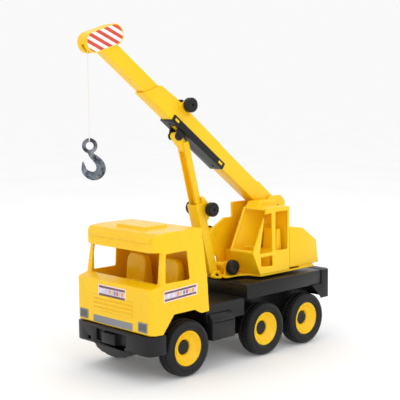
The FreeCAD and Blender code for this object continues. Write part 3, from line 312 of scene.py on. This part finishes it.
YELLOW = moulded("cab_yellow", (1.0, 0.61, 0.004), (0.98, 0.57, 0.003), 0.27)
CRANE_YELLOW = moulded("crane_yellow", (1.0, 0.62, 0.005), (0.98, 0.58, 0.004), 0.33)
BLACK = moulded("black_plastic", (0.006, 0.006, 0.0065), (0.013, 0.013, 0.0135), 0.3, 0.08)
TYRE = tyre_rubber()
GREY = moulded("grey_film", (0.2, 0.205, 0.225), (0.26, 0.265, 0.28), 0.4)
LENS = moulded("lamp_lens", (0.075, 0.095, 0.085), (0.12, 0.14, 0.13), 0.2)
STRIPES = striped_film()
CAB_FILM = cab_film()
STRING = twisted_string()
HOOK_GREY = metallic_grey()
STEEL = moulded("axle_steel", (0.45, 0.45, 0.46), (0.38, 0.38, 0.39), 0.3)
surface_of(STEEL).inputs["Metallic"].default_value = 1.0
for material, level in ((BLACK, 0.26), (TYRE, 0.26), (YELLOW, 0.36), (CRANE_YELLOW, 0.36)):
    surface_of(material).inputs["Specular IOR Level"].default_value = level
for material in (YELLOW, CRANE_YELLOW):
    surface_of(material).inputs["Subsurface Weight"].default_value = 0.3
    surface_of(material).inputs["Subsurface Radius"].default_value = (1.0, 0.45, 0.05)
    surface_of(material).inputs["Subsurface Scale"].default_value = 4 * MM

SLOT_MATERIAL = {"cab_yellow": YELLOW, "crane_yellow": CRANE_YELLOW, "wheel_yellow": YELLOW,
                 "black_plastic": BLACK, "tyre_black": TYRE, "grey_label": GREY, "striped_label": STRIPES,
                 "hook_grey": HOOK_GREY, "string": STRING, "axle_steel": STEEL}


# ---- mesh helpers ----

WELD_CAD = 0.02 * MM
WELD_OWN = 0.005 * MM
LONG_EDGE = 3.0


def mounted(piece, body):
    """The piece, made to move with a body."""
    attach(piece, body)
    return piece


def stand_in(piece, node):
    """Puts the piece in a CAD node's place, on the same body."""
    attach(piece, NODE_BODY[node])
    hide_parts(node)


def finish_mesh(name, bm, material, sharp=40):
    """A mesh object from a bmesh, smooth except at edges sharper than the angle."""
    bmesh.ops.recalc_face_normals(bm, faces=bm.faces)
    mesh = bpy.data.meshes.new(name)
    bm.to_mesh(mesh)
    bm.free()
    for layer in ("custom_normal", "sharp_edge", "sharp_face"):
        if layer in mesh.attributes:
            mesh.attributes.remove(mesh.attributes[layer])
    mesh.polygons.foreach_set("use_smooth", [True] * len(mesh.polygons))
    mesh.set_sharp_from_angle(angle=math.radians(sharp))
    mesh.materials.clear()
    mesh.materials.append(material)
    obj = bpy.data.objects.new(name, mesh)
    bpy.context.collection.objects.link(obj)
    return obj


def softened(node, width):
    """Replaces a node by its own shape with the long hard edges rounded over."""
    bm = bmesh.new()
    bm.from_mesh(NODES[node].data)
    bmesh.ops.remove_doubles(bm, verts=bm.verts, dist=WELD_CAD)
    bmesh.ops.dissolve_limit(bm, angle_limit=math.radians(1.0), verts=bm.verts, edges=bm.edges)
    hard = [edge for edge in bm.edges if len(edge.link_faces) == 2
            and edge.calc_face_angle(0) > math.radians(28) and edge.calc_length() > LONG_EDGE * width]
    bmesh.ops.bevel(bm, geom=hard, offset=width, segments=2, profile=0.5, affect="EDGES",
                    clamp_overlap=False)
    stand_in(finish_mesh(f"{node}_finish", bm, SLOT_MATERIAL[NODE_SLOT[node]]), node)


def level_normals(mesh):
    """Vertex normals weighted by face area, so that flat faces stay flat up to their rounded edges."""
    sums = [Vector() for _ in mesh.vertices]
    for face in mesh.polygons:
        weighted = face.normal * face.area
        for index in face.vertices:
            sums[index] += weighted
    mesh.normals_split_custom_set_from_vertices([total.normalized() for total in sums])


def moulded_shell(node, voxel, rounds):
    """Replaces a node by its own shape with every edge rounded over, as on a thin moulding."""
    source = NODES[node].copy()
    source.data = NODES[node].data.copy()
    bpy.context.collection.objects.link(source)
    weld = source.modifiers.new("weld", "WELD")
    weld.merge_threshold = WELD_CAD
    remesh = source.modifiers.new("remesh", "REMESH")
    remesh.mode = "VOXEL"
    remesh.voxel_size = voxel
    smooth = source.modifiers.new("smooth", "SMOOTH")
    smooth.factor = 0.5
    smooth.iterations = rounds
    lighter = source.modifiers.new("lighter", "DECIMATE")
    lighter.ratio = 0.3
    bm = bmesh.new()
    bm.from_object(source, bpy.context.evaluated_depsgraph_get())
    bpy.data.objects.remove(source)
    piece = finish_mesh(f"{node}_moulding", bm, SLOT_MATERIAL[NODE_SLOT[node]], 60)
    level_normals(piece.data)
    stand_in(piece, node)


def lathe(name, profile, middle, steps, material, tread=None):
    """A ring about the X axis from (x, radius) points; tread(step, radius) may change a radius."""
    bm = bmesh.new()
    rings = []
    for i in range(steps):
        angle = 2 * math.pi * i / steps
        ring = []
        for x, radius in profile:
            if tread:
                radius = tread(i, radius)
            ring.append(bm.verts.new((middle.x + x, middle.y + radius * math.cos(angle),
                                      middle.z + radius * math.sin(angle))))
        rings.append(ring)
    for i in range(steps):
        first, second = rings[i], rings[(i + 1) % steps]
        for j in range(len(profile) - 1):
            bm.faces.new((first[j], first[j + 1], second[j + 1], second[j]))
    bmesh.ops.remove_doubles(bm, verts=bm.verts, dist=WELD_OWN)
    return finish_mesh(name, bm, material, 35)


def skin(bm, first, second):
    """Four-sided faces between two closed rings of vertices."""
    around = len(first)
    for k in range(around):
        bm.faces.new((first[k], first[(k + 1) % around], second[(k + 1) % around], second[k]))


def capsule(name, start, end, radius, flatness, proud, material):
    """A bar with round ends. It stands out along proud, by flatness times its radius."""
    along = (end - start).normalized()
    side = along.cross(proud).normalized()
    bm = bmesh.new()
    rings = []
    around = 16
    cap = 5
    stations = [(start, -math.pi / 2 + math.pi / 2 * k / cap) for k in range(cap + 1)]
    stations += [(end, math.pi / 2 * k / cap) for k in range(cap + 1)]
    for base, lift in stations:
        size = radius * math.cos(lift)
        here = base + along * radius * math.sin(lift)
        ring = []
        for k in range(around):
            angle = 2 * math.pi * k / around
            ring.append(bm.verts.new(here + side * size * math.cos(angle)
                                     + proud * size * flatness * math.sin(angle)))
        rings.append(ring)
    for first, second in zip(rings, rings[1:]):
        skin(bm, first, second)
    bmesh.ops.remove_doubles(bm, verts=bm.verts, dist=WELD_OWN)
    return finish_mesh(name, bm, material, 60)


# ---- CAD nodes: materials on all, rounded edges on those in view ----

for name, node in NODES.items():
    node.data.materials.clear()
    node.data.materials.append(SLOT_MATERIAL[NODE_SLOT[name]])
NODES["cab_labels"].data.materials[0] = CAB_FILM

# Voxel size in mm and rounds of smoothing
MOULDINGS = {"cab_shell": (1.0, 6), "operator_cab": (0.8, 4), "cab_seats": (1.2, 14), "turret_base": (0.8, 3),
             "inner_boom": (0.5, 3), "hoist_panel": (0.9, 3), "boom_cheek": (0.9, 3)}
for name, (voxel, rounds) in MOULDINGS.items():
    moulded_shell(name, voxel * MM, rounds)

# Width of the rounded edge in mm
ROUNDED = {"front_bumper": 1.0, "deck": 0.9, "tail_panel": 1.2, "side_box_left": 0.9, "side_box_right": 0.9,
           "outer_boom": 0.9, "boom_saddle": 0.5, "strut_sleeve": 0.6, "strut_rod": 0.4,
           "counterweight": 1.0, "operator_seat": 1.2}
for name, width in ROUNDED.items():
    softened(name, width * MM)


# ---- wheels ----

TYRE_HEIGHT = 14.5 * MM
TYRE_STEPS = 384
TREAD_STEPS = 8
GROOVE_STEPS = 2
GROOVE_DEPTH = 0.7 * MM
HUB_DEPTH = 9.1 * MM


def round_piece(name):
    """Radius, centre, outer and inner distance from the truck's middle of a wheel or tyre node."""
    low, high = corners(name)
    middle = Vector((0, (low.y + high.y) / 2, (low.z + high.z) / 2))
    return (high.z - low.z) / 2, middle, max(abs(low.x), abs(high.x)), min(abs(low.x), abs(high.x))


def tyre(name, side):
    """A hard tyre: a plain shoulder with two fine rings, and shallow tread blocks."""
    radius, middle, outer, inner = round_piece(name)
    rim = radius - TYRE_HEIGHT
    shape = [(outer - 3.4 * MM, rim), (outer - 0.2 * MM, rim + 3.0 * MM), (outer, rim + 3.8 * MM),
             (outer, rim + 5.2 * MM), (outer - 0.5 * MM, rim + 5.5 * MM),
             (outer - 0.5 * MM, rim + 6.0 * MM), (outer, rim + 6.4 * MM),
             (outer - 0.1 * MM, rim + 8.6 * MM), (outer - 0.7 * MM, radius - 3.8 * MM),
             (outer - 1.9 * MM, radius - 2.3 * MM), (outer - 3.9 * MM, radius - 1.0 * MM),
             (outer - 6.6 * MM, radius - 0.25 * MM), (outer - 7.0 * MM, radius - 1.2 * MM),
             (outer - 8.2 * MM, radius - 1.2 * MM), (outer - 8.6 * MM, radius),
             (outer - 12.4 * MM, radius), (outer - 12.8 * MM, radius - 1.2 * MM),
             (inner + 8.9 * MM, radius - 1.2 * MM), (inner + 8.5 * MM, radius),
             (inner + 6.6 * MM, radius - 0.3 * MM), (inner + 3.6 * MM, radius - 1.1 * MM),
             (inner + 1.4 * MM, radius - 2.6 * MM), (inner + 0.2 * MM, radius - 5.0 * MM),
             (inner, rim + 4.0 * MM), (inner + 3.0 * MM, rim), (outer - 3.4 * MM, rim)]
    shape = [(side * x, height) for x, height in shape]

    def tread(step, height):
        groove = step % TREAD_STEPS < GROOVE_STEPS and height > radius - 2.0 * MM
        return height - GROOVE_DEPTH if groove else height

    stand_in(lathe(f"{name}_moulded", shape, middle, TYRE_STEPS, TYRE, tread), name)


def wheel(name, side):
    """A dished wheel: a rolled flange, a smooth cone and a ridge round the hub."""
    flange, middle, face, inner = round_piece(name)
    hub = face - HUB_DEPTH
    shape = [(inner, 3.2 * MM), (inner, flange - 0.6 * MM), (inner + 0.6 * MM, flange),
             (face - 0.9 * MM, flange), (face - 0.2 * MM, flange - 0.4 * MM),
             (face, flange - 1.2 * MM), (face - 0.1 * MM, flange - 2.2 * MM),
             (face - 0.9 * MM, flange - 3.0 * MM), (face - 2.4 * MM, flange - 4.4 * MM),
             (face - 4.2 * MM, flange - 6.4 * MM), (face - 5.6 * MM, flange - 8.4 * MM),
             (face - 6.4 * MM, flange - 10.2 * MM), (hub + 2.2 * MM, 13.2 * MM), (hub + 1.6 * MM, 11.9 * MM),
             (hub + 0.5 * MM, 10.8 * MM), (hub - 0.4 * MM, 10.35 * MM), (hub - 3.4 * MM, 10.3 * MM),
             (hub - 3.4 * MM, 3.2 * MM), (inner, 3.2 * MM)]
    shape = [(side * x, height) for x, height in shape]
    stand_in(lathe(f"{name}_moulded", shape, middle, 96, YELLOW), name)


for place in ("front", "middle", "rear"):
    for end, side in (("left", 1), ("right", -1)):
        tyre(f"tyre_{place}_{end}", side)
        wheel(f"wheel_{place}_{end}", side)


# ---- cab front: grille ribs, lamp frames and visor band ----

cab_low, cab_high = corners("cab_shell")
label_low, label_high = corners("front_labels")
FRONT_LEAN = 1.5 * MM
RIB_RISE = 60 * MM
LAMP_RISE = 60.5 * MM
LAMP_FOOT = 67.5 * MM
LAMP_SINK = 0.4 * MM
LAMP_X = 63.25 * MM
LAMP_HALF_WIDTH = 8.2 * MM
LAMP_HEIGHTS = (71.6 * MM, 82.9 * MM)
VISOR_SETBACK = 13.6 * MM
VISOR_DROP = 13 * MM
VISOR_HALF_WIDTH = 60 * MM

for i in range(4):
    height = label_high.z + (4.8 + 5.8 * i) * MM
    front = cab_low.y + FRONT_LEAN * (height - label_low.z) / RIB_RISE
    left, right = Vector((-41 * MM, front, height)), Vector((40 * MM, front, height))
    rib = capsule(f"grille_rib_{i + 1}", left, right, 2.0 * MM, 0.8, FORWARD, YELLOW)
    mounted(rib, "truck")


def lamp_point(x, height):
    """A point of the leaning cab front, sunk a little so that the lamp's bars grow out of it."""
    return Vector((x, cab_low.y + FRONT_LEAN * (height - LAMP_FOOT) / LAMP_RISE - LAMP_SINK, height))


for i, lamp_x in enumerate((-LAMP_X, LAMP_X)):
    left, right = lamp_x - LAMP_HALF_WIDTH, lamp_x + LAMP_HALF_WIDTH
    low, high = LAMP_HEIGHTS
    ends = [lamp_point(x, z) for x, z in ((left, low), (right, low), (right, high), (left, high))]
    for j in range(4):
        bar = capsule(f"lamp_{i + 1}_frame_{j + 1}", ends[j], ends[(j + 1) % 4], 0.9 * MM, 1.0, FORWARD, GREY)
        mounted(bar, "truck")
    for j in range(3):
        height = low + (2.8 + 2.85 * j) * MM
        start, end = lamp_point(left + 2 * MM, height), lamp_point(right - 2 * MM, height)
        rib = capsule(f"lamp_{i + 1}_rib_{j + 1}", start, end, 1.5 * MM, 0.5, FORWARD, LENS)
        mounted(rib, "truck")

visor_front, visor_height = cab_low.y + VISOR_SETBACK, cab_high.z - VISOR_DROP
start, end = (Vector((x, visor_front, visor_height)) for x in (-VISOR_HALF_WIDTH, VISOR_HALF_WIDTH))
mounted(capsule("visor_band", start, end, 4.6 * MM, 0.42, FORWARD, YELLOW), "truck")


# ---- the fine teeth along the strut's open side ----

TOOTH_COUNT = 24
TOOTH_PITCH_MM = 4.2
FIRST_TOOTH_MM = 98
TOOTH_DEPTH = 4.2 * MM

strut_foot = Vector(JOINTS["strut_lean"]["pos_m"])
strut_up = Vector(JOINTS["strut_extend"]["axis"]).normalized()
strut_back = Vector((0, strut_up.z, -strut_up.y))
for i in range(TOOTH_COUNT):
    root = strut_foot + strut_up * (FIRST_TOOTH_MM + TOOTH_PITCH_MM * i) * MM - strut_back * TOOTH_DEPTH
    start, end = root + Vector((6.2 * MM, 0, 0)), root + Vector((3.9 * MM, 0, 0))
    tooth = capsule(f"strut_tooth_{i + 1}", start, end, 0.85 * MM, 1.0, -strut_back, CRANE_YELLOW)
    mounted(tooth, "rod")


# ---- hoist line ----

string_low, string_high = corners("hoist_string")
hook_high = corners("hook")[1]
line_x, line_y = centre("hoist_string").x, centre("hoist_string").y
EYE_RADIUS = 7.6 * MM
EYE_WIRE = 2.5 * MM
KNOT_WIRE = 0.7 * MM
STRING_RADIUS = 0.6 * MM
HOOK_TURN = math.radians(46)
IN_PLANE = Vector((math.cos(HOOK_TURN), math.sin(HOOK_TURN), 0))
OUT = Vector((math.sin(HOOK_TURN), -math.cos(HOOK_TURN), 0))
eye = Vector((line_x, line_y, hook_high.z - EYE_RADIUS - EYE_WIRE))


def hook_point(across, up):
    return eye + IN_PLANE * across * MM + UP * up * MM


def smooth_line(line, steps=6):
    """A Catmull-Rom curve through the stations, each with four numbers."""
    smooth = []
    for i in range(len(line) - 1):
        four = [line[max(i - 1, 0)], line[i], line[i + 1], line[min(i + 2, len(line) - 1)]]
        for step in range(steps):
            t = step / steps
            weights = (-t + 2 * t ** 2 - t ** 3, 2 - 5 * t ** 2 + 3 * t ** 3,
                       t + 4 * t ** 2 - 3 * t ** 3, -t ** 2 + t ** 3)
            smooth.append([sum(w * p[k] for w, p in zip(weights, four)) / 2 for k in range(4)])
    return smooth + [list(line[-1])]


def swept(name, line, material):
    """A solid along (across, up, half width, half thickness) stations in the hook's plane."""
    bm = bmesh.new()
    rings = []
    around = 24
    smooth = smooth_line(line)
    for i, (across, up, half, thick) in enumerate(smooth):
        before, after = smooth[max(i - 1, 0)], smooth[min(i + 1, len(smooth) - 1)]
        way = Vector((after[0] - before[0], after[1] - before[1])).normalized()
        side = IN_PLANE * -way.y + UP * way.x
        ring = []
        for k in range(around):
            angle = 2 * math.pi * k / around
            c, s = math.cos(angle), math.sin(angle)
            c = math.copysign(abs(c) ** 0.75, c)
            s = math.copysign(abs(s) ** 0.75, s)
            ring.append(bm.verts.new(hook_point(across, up) + side * half * c * MM + OUT * thick * s * MM))
        rings.append(ring)
    for first, second in zip(rings, rings[1:]):
        skin(bm, first, second)
    bm.faces.new(rings[0])
    bm.faces.new(reversed(rings[-1]))
    return finish_mesh(name, bm, material, 50)


def torus(name, middle, normal, radius, wire, material):
    bm = bmesh.new()
    side = normal.orthogonal().normalized()
    other = normal.cross(side)
    rings = []
    steps, around = 64, 20
    for i in range(steps):
        angle = 2 * math.pi * i / steps
        out = side * math.cos(angle) + other * math.sin(angle)
        ring = []
        for k in range(around):
            turn = 2 * math.pi * k / around
            ring.append(bm.verts.new(middle + out * (radius + wire * math.cos(turn))
                                     + normal * wire * math.sin(turn)))
        rings.append(ring)
    for i in range(steps):
        skin(bm, rings[i], rings[(i + 1) % steps])
    return finish_mesh(name, bm, material, 60)


HOOK_LINE = [(0.2, -8.5, 3.0, 2.6), (2.6, -12.5, 3.8, 3.0), (7.6, -17.2, 4.6, 3.4),
             (12.6, -23.2, 5.6, 3.6), (14.3, -30.2, 6.3, 3.6), (11.2, -36.8, 6.3, 3.6),
             (4.6, -39.6, 5.8, 3.6), (-2.2, -37.6, 5.0, 3.5), (-7.2, -33.2, 3.9, 3.2),
             (-8.6, -27.6, 2.6, 2.8), (-9.2, -22.6, 1.4, 2.0), (-9.4, -20.6, 0.5, 1.0)]
hook_body = mounted(swept("hook_body", HOOK_LINE, HOOK_GREY), "hoist_line")
hook_eye = mounted(torus("hook_eye", eye, OUT, EYE_RADIUS, EYE_WIRE, HOOK_GREY), "hoist_line")
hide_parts("hook")
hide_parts("hook")

loop_radius = EYE_WIRE + 0.5 * MM
knot = mounted(torus("string_knot", eye + UP * EYE_RADIUS, IN_PLANE, loop_radius, KNOT_WIRE, STRING),
               "hoist_line")

string_length = string_high.z - string_low.z
curve = bpy.data.curves.new("hoist_line", "CURVE")
curve.dimensions = "3D"
curve.bevel_depth = STRING_RADIUS
curve.bevel_resolution = 3
curve.use_fill_caps = True
spline = curve.splines.new("NURBS")
last = 5
spline.points.add(last)
for i, point in enumerate(spline.points):
    point.co = (line_x, line_y, string_high.z - string_length * i / last, 1.0)
spline.use_endpoint_u = True
spline.order_u = 3
curve.materials.append(STRING)
string = bpy.data.objects.new("hoist_line_string", curve)
bpy.context.collection.objects.link(string)
mounted(string, "hoist_line")
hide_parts("hoist_string")


# ---- studio ----

def area_light(name, place, target, size, power):
    data = bpy.data.lights.new(name, "AREA")
    data.shape = "DISK"
    data.size = size
    data.energy = power
    lamp = bpy.data.objects.new(name, data)
    lamp.location = place
    lamp.rotation_euler = (Vector(target) - Vector(place)).to_track_quat("-Z", "Y").to_euler()
    bpy.context.collection.objects.link(lamp)


def pale_floor():
    shader = Shader("pale_floor")
    share = shader.spread(shader.noise(3.0, 2.0), 0.3, 0.7, 0.0, 1.0)
    shader.link(shader.blend(share, rgb(0.93, 0.93, 0.93), rgb(0.9, 0.9, 0.9)),
                shader.surface.inputs["Base Color"])
    shader.surface.inputs["Roughness"].default_value = 0.9
    shader.surface.inputs["Emission Color"].default_value = rgb(1.0, 1.0, 1.0)
    shader.surface.inputs["Emission Strength"].default_value = 0.075
    bpy.ops.mesh.primitive_plane_add(size=30, location=(0, 0, 0))
    floor = bpy.context.active_object
    floor.name = "floor"
    floor.data.materials.append(shader.material)


pale_floor()
truck_middle = (cad_box[0] + cad_box[1]) / 2
area_light("key", (1.7, -0.5, 1.2), truck_middle, 1.0, 6)
area_light("top", (-0.2, 0.4, 2.0), truck_middle, 1.8, 6)

world = bpy.data.worlds.new("studio")
bpy.context.scene.world = world
world.use_nodes = True
world.node_tree.nodes["Background"].inputs["Color"].default_value = (1, 1, 1, 1)
world.node_tree.nodes["Background"].inputs["Strength"].default_value = 0.95

scene = bpy.context.scene
scene.view_settings.view_transform = "Standard"


# ---- camera, fitted to the photograph's straight edges ----

AZIMUTH, PITCH, ROLL = math.radians(46.32), math.radians(6.14), math.radians(-0.57)
CAMERA_PLACE = Vector((1000.1, -954.84, 376.11)) * MM

back = Vector((math.sin(AZIMUTH) * math.cos(PITCH), -math.cos(AZIMUTH) * math.cos(PITCH), math.sin(PITCH)))
level = Vector((math.cos(AZIMUTH), math.sin(AZIMUTH), 0))
upward = back.cross(level)
right = level * math.cos(ROLL) + upward * math.sin(ROLL)
top = upward * math.cos(ROLL) - level * math.sin(ROLL)
camera_data = bpy.data.cameras.new("camera")
camera_data.sensor_width = 36
camera_data.lens = 85.82
camera_data.clip_end = 50
camera = bpy.data.objects.new("camera", camera_data)
turn = Matrix((right, top, back)).transposed().to_4x4()
camera.matrix_world = Matrix.Translation(CAMERA_PLACE) @ turn
bpy.context.collection.objects.link(camera)
scene.camera = camera
